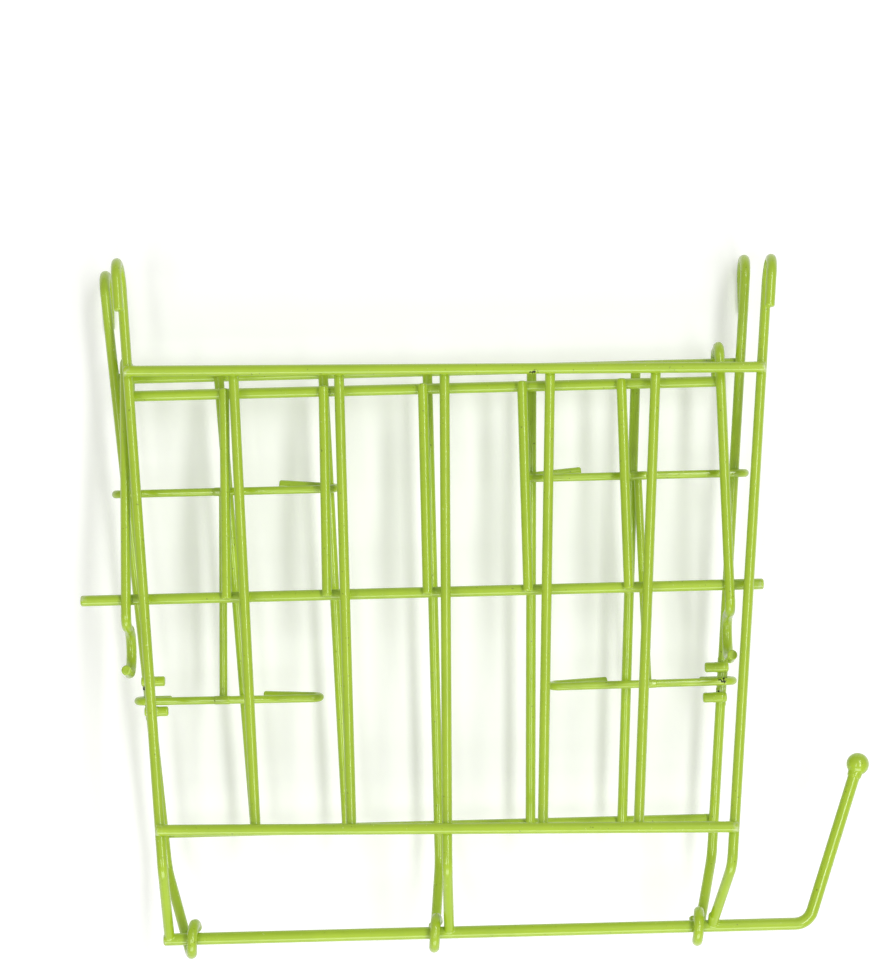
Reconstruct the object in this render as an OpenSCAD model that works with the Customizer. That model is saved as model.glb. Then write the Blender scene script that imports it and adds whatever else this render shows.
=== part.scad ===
// Folding wire hay rack, folded flat: a back panel that hooks over a cage wire, a front
// panel hinged to it on a rod at the bottom, two side panels and a lid that hang from the
// back panel. Every wire is a separate piece, welded to its neighbours where they cross.
// The rack hangs upright: +X right, +Y towards the cage wall, +Z up. The origin is midway
// between the seats of the two back hooks.

/* [Wire] */
// Thickness of the upright wires, coating included
upright_d = 2.5; // [2.2:0.1:2.6]
// Thickness of the cross bars
bar_d = 2.7; // [2.4:0.1:2.8]
// Thickness of the side panels' wires
side_d = 2.0; // [1.6:0.1:2.2]
// Thickness of the hinge rod
rod_d = 3.0; // [2.6:0.1:3.4]
// How far two crossing wires sink into each other at a weld
weld_bite = 0.2; // [0.1:0.05:0.25]
// Radius of the coating round the rim of a cut end
end_round = 0.5; // [0.2:0.1:0.7]
// How far a wire's end reaches past the middle of the bar it is welded to
overhang = 0.8; // [0.7:0.1:1.5]
// How much thicker the coated wire is round a bend
bend_swell = 0.04; // [0.03:0.01:0.08]

/* [Panels] */
// Spacing of the uprights at the top bars
top_pitch = 26.4; // [25:0.1:28]
// Spacing of the uprights at the bottom bars
bottom_pitch = 23.2; // [22.5:0.1:25]
// Height of the back panel's top bar above the hinge rod
back_height = 139.5; // [134:0.5:145]
// How much lower the front panel's top bar is
front_drop = 1.5; // [1:0.1:3]
// Height of both bottom bars above the hinge rod
bottom_bar_height = 24; // [21:0.5:30]
// Distance from the hinge rod to the plane of each panel's uprights
panel_offset = 18; // [17:0.5:21]
// Height of the bend where the legs turn in towards the hinge rod
kink_height = 15; // [12:0.5:18]
// Bend radius of the legs
kink_bend = 5; // [3:0.5:6]
// Distance between the two folded panels' uprights at the front panel's top bar
fold_gap = 9.3; // [9:0.1:12]
// How far the front panel's wires are out of square with the hinge rod, in degrees
front_skew = 1.1; // [0:0.1:1.2]
// How far the front panel sits to the right on its hinge
front_shift = 1.7; // [0.5:0.1:3]
// Where the front legs meet the hinge rod, from the front panel's middle
front_feet = [-68.7, 0.3, 65.3];
// Where the back panel's eyes run on the hinge rod, from the back panel's middle
back_eyes = [-61.0, -1.3, 63.5];

/* [Hooks] */
// Height of the hooks above the top bars
hook_rise = 26.5; // [22:0.5:30]
// Distance between the two legs of a hook
hook_gap = 12; // [11.5:0.5:14]
// Length of a hook's short leg, from the top of the hook
hook_drop = 13.5; // [10:0.5:16]
// Bend radius of the hooks
hook_bend = 5.5; // [4:0.1:5.8]

/* [Hinge rod] */
// How far the rod reaches past the left front leg
rod_overhang = 1.5; // [1:0.1:4]
// Distance from the front panel's middle to the corner of the rod
arm_corner = 89; // [80:0.5:95]
// Distance from the front panel's middle to the ball
ball_reach = 103.2; // [98:0.5:106]
// Height of the ball above the rod
ball_height = 39; // [35:0.5:50]
// Diameter of the ball
ball_d = 5.6; // [5:0.1:8]
// Depth of the rod's end inside the ball
ball_depth = 3; // [2:0.1:4]
// Bend radius of the rod
rod_bend = 4.7; // [4:0.1:7]
// Gap between the hinge rod and the back panel's eyes
eye_play = 0.7; // [0.4:0.1:0.9]
// How far an eye winds along the rod
eye_pitch = 1.2; // [0.8:0.1:1.6]

/* [Lid] */
// Spacing of the lid's uprights
lid_pitch = 24.9; // [24:0.1:25]
// How far the lid hangs to the left of the back panel's middle
lid_shift = 1.2; // [0:0.1:1.4]
// How much less than the front panel the folded lid leans, in degrees
lid_slack = 0.5; // [0.3:0.1:1]
// Distance from the lid's hinge line to the plane of its uprights
lid_offset = 8.2; // [7.8:0.1:8.4]
// Gap between the back top bar and the lid's loops
loop_play = 0.55; // [0.4:0.05:0.7]
// Length of the loops' tails behind the back top bar
loop_tail = 3.6; // [3.5:0.1:5]
// Distance from the hinge line to the lid's hinge-side bar
lid_hinge_bar_at = 5.9; // [5.5:0.1:8]
// Distance from the hinge line to the lid's free bar
lid_free_bar_at = 57.6; // [52:0.5:60]
// Reach of the lid's free bar to the left of the lid's middle
lid_free_bar_left = 86.2; // [80:0.2:88]
// Reach of the lid's free bar to the right
lid_free_bar_right = 83.4; // [80:0.2:88]
// Distance from the hinge line to the catches
catch_at = 64.4; // [63:0.2:66]
// Depth of the catches
catch_depth = 12; // [11:0.5:12.5]
// Width of the catches' mouths, between wire middles
catch_mouth = 11; // [10:0.5:11]

/* [Side panels] */
// Height of the left panel's lower wire above the hinge rod
left_side_height = 57.8; // [57.6:0.1:60]
// Height of the right panel's lower wire above the hinge rod
right_side_height = 59.2; // [57.6:0.1:60]
// Distance between a side panel's upper and lower wires
side_spacing = 52.4; // [46:0.2:55]
// Length of the upper side wires, from hinge line to hook
side_upper_length = 53.2; // [50:0.2:55]
// Length of the lower side wires, from hinge line to hook
side_lower_length = 43.5; // [40:0.5:46]
// Angle at which the folded side panels stand off the back panel
side_lean = 5; // [5:0.5:6]
// Gap between a back upright and the eyes that turn on it
side_play = 0.5; // [0.4:0.05:0.6]
// Length of the eyes' tails behind the back upright
side_tail = 5.3; // [4:0.1:7]
// Play of the front panel's outer upright in a side hook
side_hook_play = 0.1; // [0.05:0.05:0.2]
// Length of a side hook's short leg
side_hook_length = 14.5; // [12:0.5:16]
// How much higher the short leg of the upper hooks ends
side_hook_lift = 1.6; // [0:0.1:2]
// Place of the cross wire on the upper side wire, from the hinge line
cross_upper_at = 24.7; // [22:0.1:27]
// Place of the cross wire on the lower side wire, from the hinge line
cross_lower_at = 19.1; // [17:0.1:22]

/* [Stops] */
// Thickness of the stops above and below the lower side eyes
stop_d = 2.5; // [2.2:0.1:2.8]
// Length of a stop
stop_length = 6; // [5:0.1:8]
// Height of the middle of a pair of stops above the hinge rod
stop_height = 59; // [58.4:0.1:59.4]
// Distance between the two stops of a pair, between their middles
stop_gap = 7.6; // [7.2:0.1:9]

/* [Hidden] */
$fn = 32;

coating = [0.66, 0.8, 0.2];
bar_coating = [0.62, 0.76, 0.17];

// The uprights of a panel are numbered from 0 at the left; side is -1 on the left, 1 on the right
upright_count = 7;
last = upright_count - 1;
centre = last / 2;

// How far a straight stretch reaches into a bend, and the least straight between two bends
bend_lap = 0.2;
bend_land = 0.2;
// Where an eye's cut end lies between the rod and the leg, as a share of the eye's radius
eye_end = 0.25;

front_height = back_height - front_drop;
fold_lean = asin((panel_offset - fold_gap) / norm([front_height, panel_offset]))
    + atan2(panel_offset, front_height);
lid_lean = fold_lean - lid_slack;
weld_step = (upright_d + bar_d) / 2 - weld_bite;
stop_step = (upright_d + stop_d) / 2 - weld_bite;
side_step = side_d - weld_bite;
eye_radius = (rod_d + upright_d) / 2 + eye_play;
loop_radius = (bar_d + upright_d) / 2 + loop_play;
side_eye_radius = (upright_d + side_d) / 2 + side_play;
side_hook_gap = upright_d + side_d + side_hook_play;
foot_gap = rod_d / 2 - weld_bite;
lid_half = lid_pitch * centre;
lid_bar_y = -lid_offset + weld_step;
arm_run = ball_reach - arm_corner;
arm_length = norm([arm_run, ball_height]);
seat_y = panel_offset + hook_gap / 2;
seat_z = back_height + hook_rise - upright_d / 2;

// ---- Bent wire -------------------------------------------------------------------------

function unit(v) = v / norm(v);

// Angle by which a path turns at its point i
function turn(path, i) = acos(unit(path[i] - path[i - 1]) * unit(path[i + 1] - path[i]));

// Length that the bend at point i takes from the straights on both of its sides
function trim(path, bends, i) =
    i == 0 || i == len(path) - 1 ? 0 : bends[i - 1] * tan(turn(path, i) / 2);

// Puts a shape drawn along +Z at point a, pointing to b
module along(a, b) {
    z = unit(b - a);
    x = unit(cross(abs(z.z) < 0.9 ? [0, 0, 1] : [1, 0, 0], z));
    y = cross(z, x);
    multmatrix([[x.x, y.x, z.x, a.x], [x.y, y.y, z.y, a.y], [x.z, y.z, z.z, a.z]])
        children();
}

// A straight stretch of wire, drawn along +Z; a cut end has its rim rounded by the coating
module stretch(length, d, cut_start, cut_end) {
    low = cut_start ? end_round : 0;
    high = cut_end ? length - end_round : length;
    rotate_extrude() {
        square([d / 2 - end_round, length]);
        translate([0, low])
            square([d / 2, high - low]);
        if (cut_start)
            translate([d / 2 - end_round, low])
                circle(end_round);
        if (cut_end)
            translate([d / 2 - end_round, high])
                circle(end_round);
    }
}

// A wire of diameter d along the path, bent to a radius at each inner point. Each straight
// stretch reaches a little way into the slightly thicker bends beside it.
module bent_wire(path, bends, d) {
    last_point = len(path) - 1;
    for (i = [0:last_point - 1]) {
        way = unit(path[i + 1] - path[i]);
        cut_start = i == 0;
        cut_end = i == last_point - 1;
        start = path[i] + way * (cut_start ? 0 : trim(path, bends, i) - bend_lap);
        stop = path[i + 1] - way * (cut_end ? 0 : trim(path, bends, i + 1) - bend_lap);
        along(start, stop)
            stretch(norm(stop - start), d, cut_start, cut_end);
    }
    for (i = [1:1:last_point - 1]) {
        into = unit(path[i] - path[i - 1]);
        out = unit(path[i + 1] - path[i]);
        axis = unit(cross(into, out));
        spoke = cross(into, axis);
        start = path[i] - into * trim(path, bends, i);
        hub = start - spoke * bends[i - 1];
        multmatrix([
            [spoke.x, into.x, axis.x, hub.x],
            [spoke.y, into.y, axis.y, hub.y],
            [spoke.z, into.z, axis.z, hub.z]
        ])
            rotate_extrude(angle = turn(path, i))
                translate([bends[i - 1], 0])
                    circle(d = d + bend_swell);
    }
}

module straight_wire(a, b, d) {
    bent_wire([a, b], [], d);
}

// ---- Places ----------------------------------------------------------------------------

// From the frame of the hinge rod, at the back panel's middle, to the part's own frame
module in_rack() {
    translate([0, -seat_y, -seat_z])
        children();
}

// The front panel's frame: on the hinge rod, folded back against the back panel
module in_front() {
    in_rack()
        translate([front_shift, 0, 0])
            rotate([-fold_lean, 0, 0])
                children();
}

// The frame of the front panel's wires, slightly turned in their own plane
module in_front_wires() {
    in_front()
        rotate([0, front_skew, 0])
            children();
}

// The lid's frame: on the back top bar, hanging down and leaning forwards
module in_lid() {
    in_rack()
        translate([-lid_shift, panel_offset + weld_step, back_height])
            rotate([-lid_lean, 0, 0])
                children();
}

// A side panel's frame at one height: on the back panel's outer upright, +X running along
// the side wire towards the middle of the rack, +Y towards the cage wall
module in_side(side, height) {
    in_rack()
        translate([side * outer_x(height), panel_offset, height])
            scale_x(-side)
                rotate([0, 0, -side_lean])
                    children();
}

module scale_x(way) {
    if (way < 0)
        mirror([1, 0, 0])
            children();
    else
        children();
}

// ---- Panels ----------------------------------------------------------------------------

// Place across the panel of upright i at a height, in a panel of a given full height
function upright_x(i, height, full) =
    (i - centre) * (bottom_pitch + (top_pitch - bottom_pitch)
        * (height - bottom_bar_height) / (full - bottom_bar_height));

// Number of the k-th upright between the outer ones, counted without the centre one
function inner(k) = k < centre ? k : k + 1;

// Distance of the back panel's outer uprights from its middle
function outer_x(height) = upright_x(last, height, back_height);

// The hook over a cage wire and the straight down to the kink; way is -1 for the front. The
// front hooks' short legs lean with the wire, and the back ones hang plumb.
function hook_path(i, full, way) = [
    [upright_x(i, full + hook_rise - (way < 0 ? hook_drop : 0), full),
        way * (panel_offset + hook_gap), full + hook_rise - hook_drop],
    [upright_x(i, full + hook_rise, full), way * (panel_offset + hook_gap), full + hook_rise],
    [upright_x(i, full + hook_rise, full), way * panel_offset, full + hook_rise],
    [upright_x(i, kink_height, full), way * panel_offset, kink_height]
];

// The end of a front leg on the hinge rod, which runs slightly askew to the panel's wires
function foot(x) =
    let (
        rod_z = x * tan(front_skew),
        way = unit([panel_offset, kink_height - rod_z])
    )
    [x, -foot_gap * way.x, rod_z + foot_gap * way.y];

// The eye of a back leg, coming down from the kink, under the hinge rod and back over it, so
// that its cut end lies beside the leg
function eye_path(x) =
    let (
        hub = [x - eye_pitch / 2, 0, 0],
        reach = norm([panel_offset, kink_height]),
        slope = atan2(kink_height, panel_offset) - acos(eye_radius / reach),
        side = eye_radius + bend_land / 2,
        out = [0, cos(slope), sin(slope)] * side,
        on = [0, cos(slope - 90), sin(slope - 90)] * side,
        step = [eye_pitch / 3, 0, 0]
    )
    [hub + out + on, hub - out + on + step, hub - out - on + step * 2,
        hub - on + out * eye_end + step * 3];

eye_bends = [kink_bend, eye_radius, eye_radius, eye_radius];

module panel_bar(full, height, way) {
    x = upright_x(last, height, full) + overhang;
    y = way * (panel_offset + weld_step);
    straight_wire([-x, y, height], [x, y, height], bar_d);
}

module panel_upright(i, full, way) {
    top = full + overhang;
    bottom = bottom_bar_height - overhang;
    straight_wire([upright_x(i, top, full), way * panel_offset, top],
        [upright_x(i, bottom, full), way * panel_offset, bottom], upright_d);
}

// ---- Back panel ------------------------------------------------------------------------

module back_bar(height) {
    color(bar_coating)
        in_rack()
            panel_bar(back_height, height, 1);
}

module back_hook_wire(i, eye_x) {
    color(coating)
        in_rack()
            bent_wire(concat(hook_path(i, back_height, 1), eye_path(eye_x)),
                concat([hook_bend, hook_bend], eye_bends), upright_d);
}

module back_centre_wire() {
    color(coating)
        in_rack()
            bent_wire(concat([[0, panel_offset, back_height + overhang],
                [0, panel_offset, kink_height]], eye_path(back_eyes[1])),
                eye_bends, upright_d);
}

module back_wire(i) {
    color(coating)
        in_rack()
            panel_upright(i, back_height, 1);
}

// A short stub across the outer upright that keeps the lower side eye in its place
module stop(side, way) {
    height = stop_height + way * stop_gap / 2;
    x = outer_x(height) + upright_d / 2;
    y = panel_offset - stop_step;
    color(bar_coating)
        in_rack()
            straight_wire([side * x, y, height], [side * (x - stop_length), y, height], stop_d);
}

// ---- Front panel -----------------------------------------------------------------------

module front_bar(height) {
    color(bar_coating)
        in_front_wires()
            panel_bar(front_height, height, -1);
}

module front_hook_wire(i, foot_x) {
    color(coating)
        in_front_wires()
            bent_wire(concat(hook_path(i, front_height, -1), [foot(foot_x)]),
                [hook_bend, hook_bend, kink_bend], upright_d);
}

module front_centre_wire() {
    color(coating)
        in_front_wires()
            bent_wire([[0, -panel_offset, front_height + overhang],
                [0, -panel_offset, kink_height], foot(front_feet[1])], [kink_bend], upright_d);
}

module front_wire(i) {
    color(coating)
        in_front_wires()
            panel_upright(i, front_height, -1);
}

// The hinge rod, bent up at its right end into an arm that carries the ball
module hinge_rod() {
    tip = arm_length - ball_d / 2 + ball_depth;
    color(bar_coating)
        in_front()
            bent_wire([[front_feet[0] - rod_overhang, 0, 0], [arm_corner, 0, 0],
                [arm_corner + arm_run * tip / arm_length, 0, ball_height * tip / arm_length]],
                [rod_bend], rod_d);
}

// The ball, with the blind hole that the end of the arm fills
module end_ball() {
    color(bar_coating)
        in_front()
            translate([arm_corner, 0, 0])
                rotate([0, atan2(arm_run, ball_height), 0])
                    difference() {
                        translate([0, 0, arm_length])
                            sphere(d = ball_d);
                        translate([0, 0, arm_length - ball_d])
                            cylinder(d = rod_d, h = ball_d / 2 + ball_depth);
                    }
}

// ---- Lid -------------------------------------------------------------------------------

module lid_bar(reach_left, reach_right, at) {
    color(bar_coating)
        in_lid()
            straight_wire([-reach_left, lid_bar_y, -at], [reach_right, lid_bar_y, -at], bar_d);
}

// An outer wire: a loop over the back top bar, the straight, and the catch at the free end
module lid_outer_wire(side) {
    x = side * lid_half;
    catch_back = catch_depth - lid_offset;
    catch_end = catch_at + catch_mouth;
    catch_bend = (catch_mouth - bend_land) / 2;
    color(coating)
        in_lid()
            bent_wire([[x, loop_radius, -loop_tail], [x, loop_radius, loop_radius],
                [x, -lid_offset, loop_radius], [x, -lid_offset, -catch_at],
                [x, catch_back, -catch_at], [x, catch_back, -catch_end],
                [x, -lid_offset, -catch_end]],
                [loop_radius, loop_radius, catch_mouth / 4, catch_bend, catch_bend],
                upright_d);
}

module lid_wire(i) {
    x = (i - centre) * lid_pitch;
    color(coating)
        in_lid()
            straight_wire([x, -lid_offset, overhang - lid_hinge_bar_at],
                [x, -lid_offset, -lid_free_bar_at - overhang], upright_d);
}

// ---- Side panels -----------------------------------------------------------------------

// Height of a side panel's lower wire above the hinge rod
function side_height(side) = side < 0 ? left_side_height : right_side_height;

// A side wire: an eye round the back upright, the straight, and the hook for the front one
module side_wire(side, height, length, lift) {
    near = -side_eye_radius;
    hook_y = near + side_hook_gap;
    eye_bend = side_eye_radius - bend_land / 2;
    side_hook_bend = (side_hook_gap - bend_land) / 2;
    color(coating)
        in_side(side, height)
            bent_wire([[side_tail, side_eye_radius, 0], [near, side_eye_radius, 0],
                [near, near, 0], [length, near, 0], [length, hook_y, lift / 4],
                [length - side_hook_length, hook_y, lift]],
                [eye_bend, eye_bend, side_hook_bend, side_hook_bend],
                side_d);
}

module upper_side_wire(side) {
    side_wire(side, side_height(side) + side_spacing, side_upper_length, side_hook_lift);
}

module lower_side_wire(side) {
    side_wire(side, side_height(side), side_lower_length, side_hook_lift / 2);
}

module side_cross_wire(side) {
    y = -side_eye_radius + side_step;
    // both hinge points lie on the leaning back upright
    slide = outer_x(side_spacing) - outer_x(0);
    top = [cross_upper_at, y, 0];
    bottom = [cross_lower_at + slide * cos(side_lean), y + slide * sin(side_lean),
        -side_spacing];
    way = unit(top - bottom);
    color(coating)
        in_side(side, side_height(side) + side_spacing)
            straight_wire(top + way * overhang, bottom - way * overhang, side_d);
}

// ---- Nodes -----------------------------------------------------------------------------

back_bar(back_height);  // back_top_bar
back_bar(bottom_bar_height);  // back_bottom_bar
back_hook_wire(0, back_eyes[0]);  // back_left_hook_wire
back_hook_wire(last, back_eyes[2]);  // back_right_hook_wire
back_centre_wire();
for (k = [1:4])
    back_wire(inner(k));
stop(-1, 1);  // left_upper_stop
stop(-1, -1);  // left_lower_stop
stop(1, 1);  // right_upper_stop
stop(1, -1);  // right_lower_stop

front_bar(front_height);  // front_top_bar
front_bar(bottom_bar_height);  // front_bottom_bar
front_hook_wire(0, front_feet[0]);  // front_left_hook_wire
front_hook_wire(last, front_feet[2]);  // front_right_hook_wire
front_centre_wire();
for (k = [1:4])
    front_wire(inner(k));
hinge_rod();
end_ball();

lid_bar(lid_half, lid_half, lid_hinge_bar_at);  // lid_hinge_bar
lid_bar(lid_free_bar_left, lid_free_bar_right, lid_free_bar_at);  // lid_free_bar
lid_outer_wire(-1);  // lid_left_wire
lid_outer_wire(1);  // lid_right_wire
for (k = [1:5])
    lid_wire(k);

upper_side_wire(-1);  // left_side_upper_wire
lower_side_wire(-1);  // left_side_lower_wire
side_cross_wire(-1);  // left_side_cross_wire
upper_side_wire(1);  // right_side_upper_wire
lower_side_wire(1);  // right_side_lower_wire
side_cross_wire(1);  // right_side_cross_wire
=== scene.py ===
import math

import bpy
from mathutils import Matrix, Vector


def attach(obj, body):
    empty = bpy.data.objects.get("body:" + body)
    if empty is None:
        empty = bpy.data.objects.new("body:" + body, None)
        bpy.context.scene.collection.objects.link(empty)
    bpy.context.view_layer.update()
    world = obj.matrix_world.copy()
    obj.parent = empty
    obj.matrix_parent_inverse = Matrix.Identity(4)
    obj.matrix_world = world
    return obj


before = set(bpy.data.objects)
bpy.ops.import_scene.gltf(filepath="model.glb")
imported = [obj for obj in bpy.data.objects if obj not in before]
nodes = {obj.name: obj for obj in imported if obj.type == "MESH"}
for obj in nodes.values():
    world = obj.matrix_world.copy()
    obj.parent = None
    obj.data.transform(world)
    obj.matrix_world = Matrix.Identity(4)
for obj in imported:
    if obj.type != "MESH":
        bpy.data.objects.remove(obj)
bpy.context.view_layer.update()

# ---- Camera ------------------------------------------------------------------------------------
# The photographer looks straight at the flat rack from about 0.7 m, a little above its hinge rod,
# with the rack lying slightly turned in the frame.
camera_data = bpy.data.cameras.new("camera")
camera_data.lens = 106.4
camera_data.sensor_width = 36
camera_data.sensor_fit = "AUTO"
camera_data.clip_start = 0.01
camera = bpy.data.objects.new("camera", camera_data)
bpy.context.scene.collection.objects.link(camera)
camera_place = (0.0041, -0.739, -0.05555)
camera_roll = math.radians(-1.45)
camera.matrix_world = (
    Matrix.Translation(camera_place)
    @ Matrix.Rotation(math.radians(90), 4, "X")
    @ Matrix.Rotation(camera_roll, 4, "Z")
)
bpy.context.scene.camera = camera


# ---- Dipped coating ----------------------------------------------------------------------------
# Every wire is steel, dipped after welding in a glossy yellow-green coating. The coat is slightly
# uneven: it lies thicker and deeper in colour in places, carries fine specks, and is chipped or
# rubbed thin at a few joints. The cut ends are painted paler: a painted highlight on their thin
# coat.
GREEN = (0.42, 0.60, 0.022, 1)
DEEP_GREEN = (0.345, 0.52, 0.012, 1)
DARK_SPECK = (0.10, 0.13, 0.01, 1)
PALE_SPECK = (0.68, 0.78, 0.32, 1)
# pale where the coat is rubbed thin, and a painted highlight where it is put on cut ends
THIN_COAT_AND_HIGHLIGHT = (0.60, 0.68, 0.38, 1)
BARE_STEEL = (0.012, 0.013, 0.01, 1)
CLEAR_GLOSS = 0.85


class Shade:
    """A socket of a material, so that shader maths reads as plain arithmetic."""

    def __init__(self, tree, socket):
        self.tree = tree
        self.socket = socket

    def node(self, kind, settings, sockets, output=0):
        made = self.tree.nodes.new(kind)
        for name, value in settings.items():
            if name == "stops":
                ramp = made.color_ramp
                for element, (place, level) in zip(ramp.elements, value):
                    element.position = place
                    element.color = (level, level, level, 1)
            else:
                setattr(made, name, value)
        for name, value in sockets.items():
            if isinstance(value, Shade):
                self.tree.links.new(value.socket, made.inputs[name])
            else:
                made.inputs[name].default_value = value
        return Shade(self.tree, made.outputs[output])

    def maths(self, operation, first, second):
        return self.node("ShaderNodeMath", {"operation": operation}, {0: first, 1: second})

    def __add__(self, other):
        return self.maths("ADD", self, other)

    def __radd__(self, other):
        return self.maths("ADD", other, self)

    def __sub__(self, other):
        return self.maths("SUBTRACT", self, other)

    def __rsub__(self, other):
        return self.maths("SUBTRACT", other, self)

    def __mul__(self, other):
        return self.maths("MULTIPLY", self, other)

    def __rmul__(self, other):
        return self.maths("MULTIPLY", other, self)

    def __or__(self, other):
        return self.maths("MAXIMUM", self, other)

    def __ror__(self, other):
        return self.maths("MAXIMUM", other, self)

    def noise(self, scale, detail):
        return self.node("ShaderNodeTexNoise", {},
            {"Vector": self, "Scale": scale, "Detail": detail})

    def ramp(self, low, high):
        return self.node("ShaderNodeValToRGB", {"stops": (low, high)}, {"Fac": self})

    def mix(self, first, second):
        """The first colour where this mask is 0, and the second where it is 1."""
        return self.node("ShaderNodeMix", {"data_type": "RGBA"}, {0: self, 6: first, 7: second}, 2)

    def feed(self, target, name):
        self.tree.links.new(self.socket, target.inputs[name])


def dipped_coating(name, seed, chips=(), rubs_and_highlights=()):
    """The coating of one piece, with bare chips and pale places, each (centre, radius) in metres:
    the pale places are rubs, and painted highlights on cut ends.
    """
    material = bpy.data.materials.new(name)
    material.use_nodes = True
    tree = material.node_tree
    shader = tree.nodes["Principled BSDF"]
    place = Shade(tree, tree.nodes.new("ShaderNodeTexCoord").outputs["Object"])
    spot = place.node("ShaderNodeMapping", {},
        {"Vector": place, "Location": (seed, 0.37 * seed, 0)})

    def away(centre):
        return place.node("ShaderNodeVectorMath", {"operation": "DISTANCE"},
            {0: place, 1: centre}, 1)

    # the coat's depth of colour drifts along the wire
    drift = spot.noise(55, 3).ramp((0.35, 0), (0.68, 1))
    flow = spot.noise(420, 2).ramp((0.45, 0), (0.7, 1))
    tone = (drift * 0.55 + flow * 0.2).mix(GREEN, DEEP_GREEN)
    # fine specks in the coat, dark and pale
    dust = spot.noise(1500, 1)
    dark_speck = dust.ramp((0.735, 0), (0.76, 1))
    pale_speck = dust.ramp((0.23, 1), (0.25, 0))
    tone = (dark_speck * 0.6).mix(tone, DARK_SPECK)
    tone = (pale_speck * 0.5).mix(tone, PALE_SPECK)

    # a rubbed place and a cut end with a painted highlight are both paler and streaked, and fade
    # out towards their radius
    if rubs_and_highlights:
        thin_and_highlit = 0
        streak = spot.noise(900, 3).ramp((0.46, 0), (0.6, 1))
        for centre, radius in rubs_and_highlights:
            thin_and_highlit = thin_and_highlit | (away(centre) * (1 / radius)).ramp((0.5, 1), (1, 0)) * streak
        tone = (thin_and_highlit * 0.8).mix(tone, THIN_COAT_AND_HIGHLIGHT)
    roughness = flow * 0.08 + (drift * 0.05 + 0.3)
    height = spot.noise(160, 2) + spot.noise(900, 2) * 0.12

    # a bare place has a ragged, sunken edge and no gloss
    if chips:
        bare = 0
        ragged = spot.noise(1900, 4) * 0.0034 - 0.0017
        for centre, radius in chips:
            bare = bare | ((away(centre) + ragged) * (1 / radius)).ramp((0.62, 1), (0.72, 0))
        tone = bare.mix(tone, BARE_STEEL)
        roughness = roughness + bare * 0.3
        height = height - bare * 0.9
        (bare * 0.2).feed(shader, "Metallic")
        (CLEAR_GLOSS - bare * CLEAR_GLOSS).feed(shader, "Coat Weight")
    else:
        shader.inputs["Coat Weight"].default_value = CLEAR_GLOSS
    tone.feed(shader, "Base Color")
    roughness.feed(shader, "Roughness")
    bump = height.node("ShaderNodeBump", {},
        {"Height": height, "Distance": 0.00012, "Strength": 0.6})
    bump.feed(shader, "Normal")
    shader.inputs["IOR"].default_value = 1.5
    shader.inputs["Coat Roughness"].default_value = 0.08
    shader.inputs["Coat IOR"].default_value = 1.5
    return material


def dress(material, *names):
    for name in names:
        mesh = nodes[name].data
        mesh.materials.clear()
        mesh.materials.append(material)
        for face in mesh.polygons:
            face.material_index = 0


# ---- Coating at the welds ----------------------------------------------------------------------
# Where two wires are welded, the dip fills the corners between them with a small web of coating.
# One web of each kind is modelled and copied to its places: two crossing stubs are fused, and
# smoothed until only the web in the corner stands proud of the wires. Measures are in mm.
MM = 0.001
UPRIGHT_RADIUS = 1.25
BAR_RADIUS = 1.35
# half the distance between the middles of an upright and a bar welded to it
WELD = 1.2
# how far the stubs of a web reach from the weld
REACH = 2.4
# both panels: how far the uprights stand off the hinge rod's axis and how high the bottom bar lies
# above it, the pitch of the uprights there and its growth up to the top bar, and how many uprights
# stand on each side of the middle one
PANEL_OFFSET = 18
BOTTOM_BAR = 24
BOTTOM_PITCH = 23.2
PITCH_GROWTH = 3.2
OUTER = 3


def coating_web(stubs, softness=22, ball=None):
    """Fuses stubs of wire, each given as (start, end, radius), and a ball (centre, radius)."""
    bpy.ops.object.select_all(action="DESELECT")
    made = []
    for start, end, radius in stubs:
        start, end = Vector(start) * MM, Vector(end) * MM
        bpy.ops.mesh.primitive_cylinder_add(vertices=24, radius=radius * MM,
            depth=(end - start).length, location=(start + end) / 2,
            rotation=(end - start).to_track_quat("Z", "Y").to_euler())
        made.append(bpy.context.object)
    if ball:
        bpy.ops.mesh.primitive_uv_sphere_add(radius=ball[1] * MM, location=Vector(ball[0]) * MM)
        made.append(bpy.context.object)
    for piece in made:
        piece.select_set(True)
    bpy.context.view_layer.objects.active = made[0]
    bpy.ops.object.join()
    web = bpy.context.object
    bpy.ops.object.transform_apply(location=True, rotation=True, scale=True)
    for kind, settings in (
            ("REMESH", {"mode": "VOXEL", "voxel_size": 0.16 * MM}),
            ("SMOOTH", {"factor": 0.5, "iterations": softness}),
            ("DECIMATE", {"ratio": 0.25})):
        bpy.ops.object.modifier_add(type=kind)
        for name, value in settings.items():
            setattr(web.modifiers[-1], name, value)
        bpy.ops.object.modifier_apply(modifier=web.modifiers[-1].name)
    bpy.ops.object.shade_smooth()
    return web


def crossing_web(bar_from, upright_to):
    """The web of an upright at y = -WELD that runs up and a bar at y = +WELD that runs across."""
    return coating_web([((bar_from, WELD, 0), (REACH, WELD, 0), BAR_RADIUS),
        ((0, -WELD, -REACH), (0, -WELD, upright_to), UPRIGHT_RADIUS)])


def place_webs(name, places, material, body):
    """Copies webs to their places, each given as (web, matrix), as one piece riding on a body."""
    bpy.ops.object.select_all(action="DESELECT")
    copies = []
    for web, matrix in places:
        copy = bpy.data.objects.new(name, web.data.copy())
        bpy.context.scene.collection.objects.link(copy)
        copy.data.transform(matrix)
        if matrix.determinant() < 0:
            copy.data.flip_normals()
        copy.select_set(True)
        copies.append(copy)
    bpy.context.view_layer.objects.active = copies[0]
    bpy.ops.object.join()
    piece = bpy.context.object
    piece.name = name
    piece.data.materials.append(material)
    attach(piece, body)


def at(x, y, z, lean=0.0):
    """A place in mm; a web on a leaning wire turns half as far as the wire."""
    return Matrix.Translation((x * MM, y * MM, z * MM)) @ Matrix.Rotation(lean / 2, 4, "Y")


def upright_x(number, height, full):
    """Where the upright of that number, from -3 to 3, stands in a panel with that full height."""
    return number * (BOTTOM_PITCH + PITCH_GROWTH * (height - BOTTOM_BAR) / (full - BOTTOM_BAR))


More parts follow.
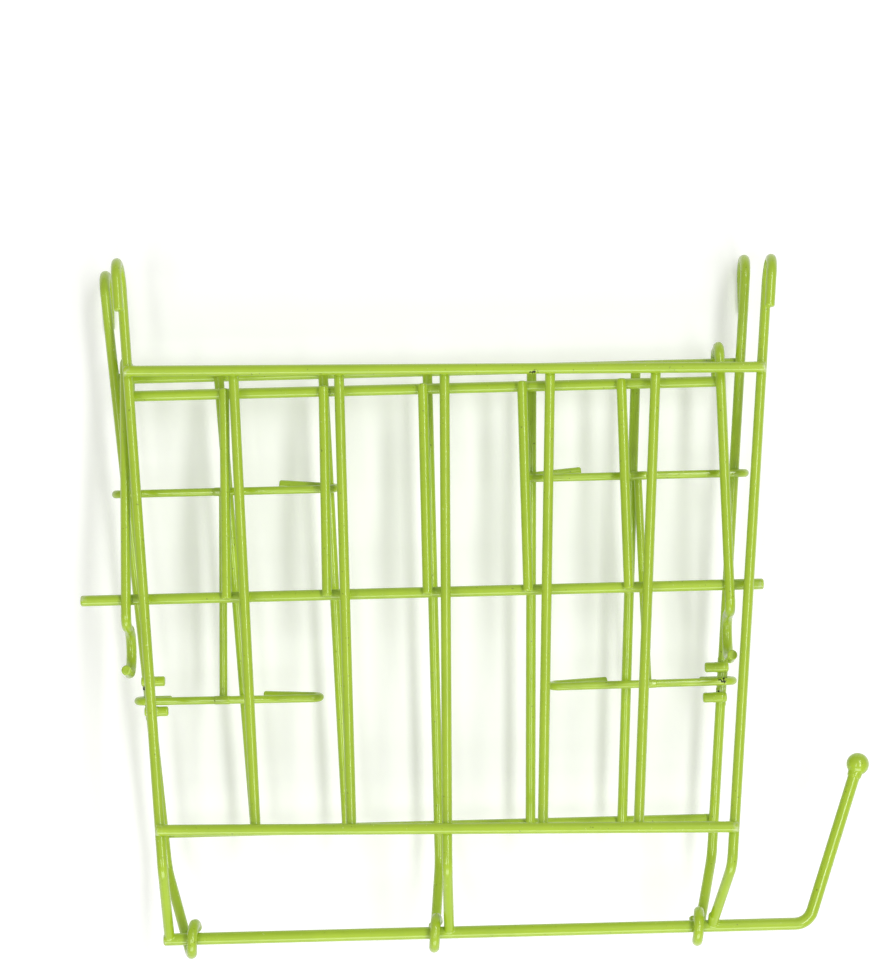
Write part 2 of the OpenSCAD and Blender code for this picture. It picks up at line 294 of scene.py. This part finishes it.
def panel_webs(panel, full, facing):
    """Webs of a panel's welds; facing is 1 where the bars lie behind the uprights, or -1."""
    turn = Matrix.Identity(4) if facing > 0 else about_face
    places = []
    for number in range(-OUTER, OUTER + 1):
        lean = math.atan(number * PITCH_GROWTH / (full - BOTTOM_BAR))
        for height, top in ((full, True), (BOTTOM_BAR, False)):
            x = upright_x(number, height, full)
            spot = panel @ at(x, facing * (PANEL_OFFSET + WELD), height, lean) @ turn
            if abs(number) == OUTER:
                on_left = (number < 0) == (facing > 0)
                places.append((outer_web, spot if on_left else spot @ half_turn))
            elif number == 0:
                places.append((inner_web if top else through_web, spot))
            else:
                places.append((inner_web, spot if top else spot @ half_turn))
    return places


# the upright ends at the bar, or runs on past it; the bar runs on, or ends at the upright
inner_web = crossing_web(-REACH, 0.6)
outer_web = crossing_web(-0.55, REACH)
end_web = crossing_web(0.2, REACH)
through_web = crossing_web(-REACH, REACH)
half_turn = Matrix.Rotation(math.pi, 4, "Y")
about_face = Matrix.Rotation(math.pi, 4, "Z")


# ---- Back panel --------------------------------------------------------------------------------
# The panel that hangs on the cage: seven uprights welded in front of two cross bars. The outer pair
# end in cage hooks above, and three of them in eyes round the hinge rod below. The left outer wire
# is chipped and rubbed between its stops.
BACK_TOP_BAR = 139.5
STOP_HEIGHTS = (55.2, 62.8)
STOP_WELD = 1.15
BACK_EYES = (-61.0, -1.3, 63.5)
rack = Matrix.Translation((0, -0.024, -0.16475))
back_coating = dipped_coating("back_panel_coating", 0.13,
    rubs_and_highlights=[((-0.0722, -0.0076, -0.1062), 0.0045), ((0.0722, -0.0076, -0.1062), 0.003)],
    chips=[((-0.0732, -0.00715, -0.10345), 0.0013), ((0.0712, -0.0074, -0.1084), 0.0009),
        ((-0.0598, -0.0269, -0.1652), 0.0009)])
dress(back_coating, "back_left_hook_wire", "back_right_hook_wire", "back_centre_wire",
    "back_wire_1", "back_wire_2", "back_wire_3", "back_wire_4",
    "left_upper_stop", "left_lower_stop", "right_upper_stop", "right_lower_stop")
dress(dipped_coating("back_bar_coating", 0.31), "back_top_bar", "back_bottom_bar")
back_places = panel_webs(rack, BACK_TOP_BAR, 1)
for side in (-1, 1):
    for height in STOP_HEIGHTS:
        x = upright_x(side * OUTER, height, BACK_TOP_BAR)
        spot = rack @ at(x, PANEL_OFFSET - STOP_WELD, height) @ about_face
        back_places.append((outer_web, spot if side > 0 else spot @ half_turn))
# the cut end of each eye is caught in the coating of its leg
eye_cut = (0.6, 3.03, 2.06)
eye_web = coating_web([(eye_cut, (-0.6, 5.0, 0.31), 0.9), ((0.5, 2.05, 2.92), eye_cut, 1.2),
    ((-0.6, 4.14, -0.66), (-0.6, 5.86, 1.28), 1.2)], 12)
for x in BACK_EYES:
    back_places.append((eye_web, rack @ at(x, 0, 0)))
place_webs("back_coating_webs", back_places, back_coating, "back_panel")
bpy.data.objects.remove(eye_web)


# ---- Front panel -------------------------------------------------------------------------------
# The panel that the animals pull hay through: seven uprights behind two cross bars, three of them
# with legs welded to the hinge rod. Its top bar has a chip in the coating.
FRONT_TOP_BAR = 138
FRONT_SHIFT = 1.7
FRONT_LEAN = math.radians(-11.016)
FRONT_SKEW = math.radians(1.1)
FRONT_FEET = (-68.7, 0.3, 65.3)
KINK_HEIGHT = 15
ROD_RADIUS = 1.5
# how much of a wire's tip counts as its cut end
TIP = 0.4 * MM


def cut_end(name, way, axis=0):
    """The middle of a wire's cut end: its lowest along the axis for way -1, its highest for 1."""
    points = [vertex.co for vertex in nodes[name].data.vertices]
    far = max(way * point[axis] for point in points)
    close = [point for point in points if way * point[axis] > far - TIP]
    return tuple(sum(close, Vector()) / len(close))


front = rack @ at(FRONT_SHIFT, 0, 0) @ Matrix.Rotation(FRONT_LEAN, 4, "X")
front_wires = front @ Matrix.Rotation(FRONT_SKEW, 4, "Y")
chip_place = front_wires @ Vector((0.0221, -0.0212, 0.1364))
front_coating = dipped_coating("front_panel_coating", 0.57)
front_bar_coating = dipped_coating("front_bar_coating", 0.71,
    chips=[(tuple(chip_place), 0.0010),
        (tuple(chip_place + Vector((0.0009, 0.0002, -0.0003))), 0.0005)],
    # the cut ends of both bars are painted paler: a painted highlight on their thin coat
    rubs_and_highlights=[(cut_end(name, way), 0.0022)
        for name in ("front_top_bar", "front_bottom_bar") for way in (-1, 1)])
dress(front_coating, "front_left_hook_wire", "front_right_hook_wire", "front_centre_wire",
    "front_wire_1", "front_wire_2", "front_wire_3", "front_wire_4")
dress(front_bar_coating, "front_top_bar", "front_bottom_bar")
front_places = panel_webs(front_wires, FRONT_TOP_BAR, -1)
# the foot of each leg, welded end on to the hinge rod
foot_web = coating_web([((-1.2, 0, 0), (2.6, 0, 0), ROD_RADIUS),
    ((0, 0, 0.6), (0, 0, 4.2), UPRIGHT_RADIUS)], 26)
for x in FRONT_FEET:
    rod_z = x * math.tan(FRONT_SKEW)
    steep = math.atan2(PANEL_OFFSET, KINK_HEIGHT - rod_z)
    front_places.append((foot_web,
        front_wires @ at(x, 0, rod_z) @ Matrix.Rotation(steep, 4, "X")))
place_webs("front_coating_webs", front_places, front_coating, "front_panel")
bpy.data.objects.remove(foot_web)


# ---- Hinge rod and ball ------------------------------------------------------------------------
# The thickest wire: the hinge of both panels, bent up at its right end into an arm. The arm ends in
# a ball, and the coating has run together into a flared neck below it.
ARM_CORNER = 89
ARM_RUN = 14.2
BALL_HEIGHT = 39
BALL_RADIUS = 2.75
rod_coating = dipped_coating("hinge_rod_coating", 0.93,
    # the rod's cut end is painted paler: a painted highlight on its thin coat
    rubs_and_highlights=[(cut_end("hinge_rod", -1), 0.002)])
dress(rod_coating, "hinge_rod", "end_ball")
ball_at = math.hypot(ARM_RUN, BALL_HEIGHT)
neck_web = coating_web([((0, 0, ball_at - 7.5), (0, 0, ball_at), ROD_RADIUS),
    ((0, 0, ball_at - 3.3), (0, 0, ball_at - 1.4), 1.8)], ball=((0, 0, ball_at), BALL_RADIUS))
arm = front @ at(ARM_CORNER, 0, 0) @ Matrix.Rotation(math.atan2(ARM_RUN, BALL_HEIGHT), 4, "Y")
place_webs("ball_neck", [(neck_web, arm)], rod_coating, "front_panel")
bpy.data.objects.remove(neck_web)


# ---- Lid ---------------------------------------------------------------------------------------
# The lid closes the top of the opened rack. It hangs by two loops on the back panel's top bar and
# grips the front panel's top bar with two C-shaped catches.
LID_HINGE = (-1.2, 20.4, BACK_TOP_BAR)
LID_LEAN = math.radians(-10.516)
LID_PITCH = 24.9
# how far the lid's wires stand off its hinge axis, and how far below that axis its bars lie
LID_OFFSET = 8.2
LID_HINGE_BAR = 5.9
LID_FREE_BAR = 57.6
lid_coating = dipped_coating("lid_coating", 1.19,
    # the cut ends of the free bar and the side wires are painted paler: a painted highlight on
    # their thin coat
    rubs_and_highlights=[(cut_end("lid_free_bar", way), 0.0022) for way in (-1, 1)]
        + [(cut_end(name, -1, 2), 0.002) for name in ("lid_left_wire", "lid_right_wire")])
dress(lid_coating, "lid_hinge_bar", "lid_free_bar", "lid_left_wire", "lid_right_wire",
    "lid_wire_1", "lid_wire_2", "lid_wire_3", "lid_wire_4", "lid_wire_5")
lid = rack @ at(*LID_HINGE) @ Matrix.Rotation(LID_LEAN, 4, "X")
lid_places = []
for number in range(-OUTER, OUTER + 1):
    hinge_side = lid @ at(LID_PITCH * number, WELD - LID_OFFSET, -LID_HINGE_BAR)
    free_side = lid @ at(LID_PITCH * number, WELD - LID_OFFSET, -LID_FREE_BAR)
    if abs(number) == OUTER:
        lid_places.append((end_web, hinge_side if number < 0 else hinge_side @ half_turn))
        lid_places.append((through_web, free_side))
    else:
        lid_places.append((inner_web, hinge_side))
        lid_places.append((inner_web, free_side @ half_turn))
place_webs("lid_coating_webs", lid_places, lid_coating, "lid")
for web in (outer_web, end_web, through_web):
    bpy.data.objects.remove(web)


# ---- Side panels -------------------------------------------------------------------------------
# Two thin wires on each side, joined by a cross wire. Each turns round the back panel's outer
# upright in an open eye, and hooks over the front panel when the rack is set up.
SIDE_SPACING = 52.4
SIDE_LEAN = math.radians(-5)
SIDE_EYE_RADIUS = 2.75
SIDE_WELD = 0.9
# the side wires are thinner, and their webs smaller
THIN_WEB = Matrix.Scale(0.83, 4)
# where on each side wire, from the middle of its eye, the cross wire is welded
CROSS_UPPER_AT = 24.7
CROSS_LOWER_AT = 19.1
side_coating = dipped_coating("side_panel_coating", 1.47,
    chips=[((0.0726, -0.00915, -0.10515), 0.0012)])
for side, way, low_height in (("left", -1, 57.8), ("right", 1, 59.2)):
    dress(side_coating, f"{side}_side_upper_wire", f"{side}_side_lower_wire",
        f"{side}_side_cross_wire")
    high_height = low_height + SIDE_SPACING
    high_edge = upright_x(OUTER, high_height, BACK_TOP_BAR)
    low_edge = upright_x(OUTER, low_height, BACK_TOP_BAR)
    # the cross wire leans a little inwards, though the upright beside it leans out
    lean = math.atan((CROSS_UPPER_AT - CROSS_LOWER_AT - (high_edge - low_edge)) / SIDE_SPACING)
    places = []
    for height, edge, along, turn in (
            (high_height, high_edge, CROSS_UPPER_AT, Matrix.Identity(4)),
            (low_height, low_edge, CROSS_LOWER_AT, half_turn)):
        hinge = rack @ at(way * edge, PANEL_OFFSET, height) @ Matrix.Scale(-way, 4, (1, 0, 0))
        spot = (hinge @ Matrix.Rotation(SIDE_LEAN, 4, "Z")
            @ at(along, SIDE_WELD - SIDE_EYE_RADIUS, 0, lean))
        # the cross wire lies behind the side wire, so the web faces back
        places.append((inner_web, spot @ about_face @ THIN_WEB @ turn))
    place_webs(f"{side}_side_coating_webs", places, side_coating, f"{side}_side")
bpy.data.objects.remove(inner_web)


# ---- Floor -------------------------------------------------------------------------------------
# The rack is photographed lying flat on a pale table, so the floor is upright, just behind its
# hooks. It lets the camera through from below, for the views of the rack's back.
bpy.ops.object.select_all(action="DESELECT")
bpy.ops.mesh.primitive_plane_add(size=3, location=(0, 0.0073, -0.07),
    rotation=(math.radians(90), 0, 0))
floor = bpy.context.object
floor.name = "floor"
pale_floor = bpy.data.materials.new("pale_floor")
pale_floor.use_nodes = True
floor_nodes = pale_floor.node_tree.nodes
floor_shader = floor_nodes["Principled BSDF"]
floor_shader.inputs["Base Color"].default_value = (0.9, 0.9, 0.89, 1)
floor_shader.inputs["Roughness"].default_value = 0.9
floor_shader.inputs["Specular IOR Level"].default_value = 0.1
paper = Shade(pale_floor.node_tree, floor_shader.outputs[0])
# a little light of its own keeps the floor white behind the darker wires
glow = paper.node("ShaderNodeEmission", {}, {"Strength": 0.22})
dark = paper.node("ShaderNodeBsdfTransparent", {}, {"Color": (0, 0, 0, 1)})
seen = paper.node("ShaderNodeLightPath", {}, {}, "Is Camera Ray")
own_light = paper.node("ShaderNodeMixShader", {}, {0: seen, 1: dark, 2: glow})
bright_paper = paper.node("ShaderNodeAddShader", {}, {0: paper, 1: own_light})
clear = paper.node("ShaderNodeBsdfTransparent", {}, {})
from_below = paper.node("ShaderNodeNewGeometry", {}, {}, "Backfacing")
one_sided = paper.node("ShaderNodeMixShader", {}, {0: from_below, 1: bright_paper, 2: clear})
one_sided.feed(floor_nodes["Material Output"], "Surface")
floor.data.materials.append(pale_floor)


# ---- Light -------------------------------------------------------------------------------------
# Soft daylight from the bottom edge of the table, a tall softbox on the right that draws the pale
# stripes along the uprights, a small one on the left, and an even pale room.
RACK_MIDDLE = Vector((0, 0, -0.07))


def softbox(name, place, size, power):
    """A rectangular lamp that faces the rack; its place and size are in metres."""
    data = bpy.data.lights.new(name, "AREA")
    data.shape = "RECTANGLE"
    data.size, data.size_y = size
    data.energy = power
    lamp = bpy.data.objects.new(name, data)
    bpy.context.scene.collection.objects.link(lamp)
    lamp.location = place
    lamp.rotation_mode = "QUATERNION"
    lamp.rotation_quaternion = (RACK_MIDDLE - Vector(place)).to_track_quat("-Z", "Y")


softbox("daylight", (0, -0.9, -1.5), (1.6, 0.8), 12.3)
softbox("left_softbox", (-0.36, -1.0, -0.25), (0.16, 0.5), 1.4)
softbox("right_softbox", (0.42, -1.0, 0.1), (0.15, 1.3), 5.4)
room = bpy.data.worlds.new("room")
room.use_nodes = True
room_light = room.node_tree.nodes["Background"]
room_light.inputs["Color"].default_value = (1, 1, 0.985, 1)
room_light.inputs["Strength"].default_value = 0.42
bpy.context.scene.world = room
bpy.context.scene.view_settings.view_transform = "Standard"
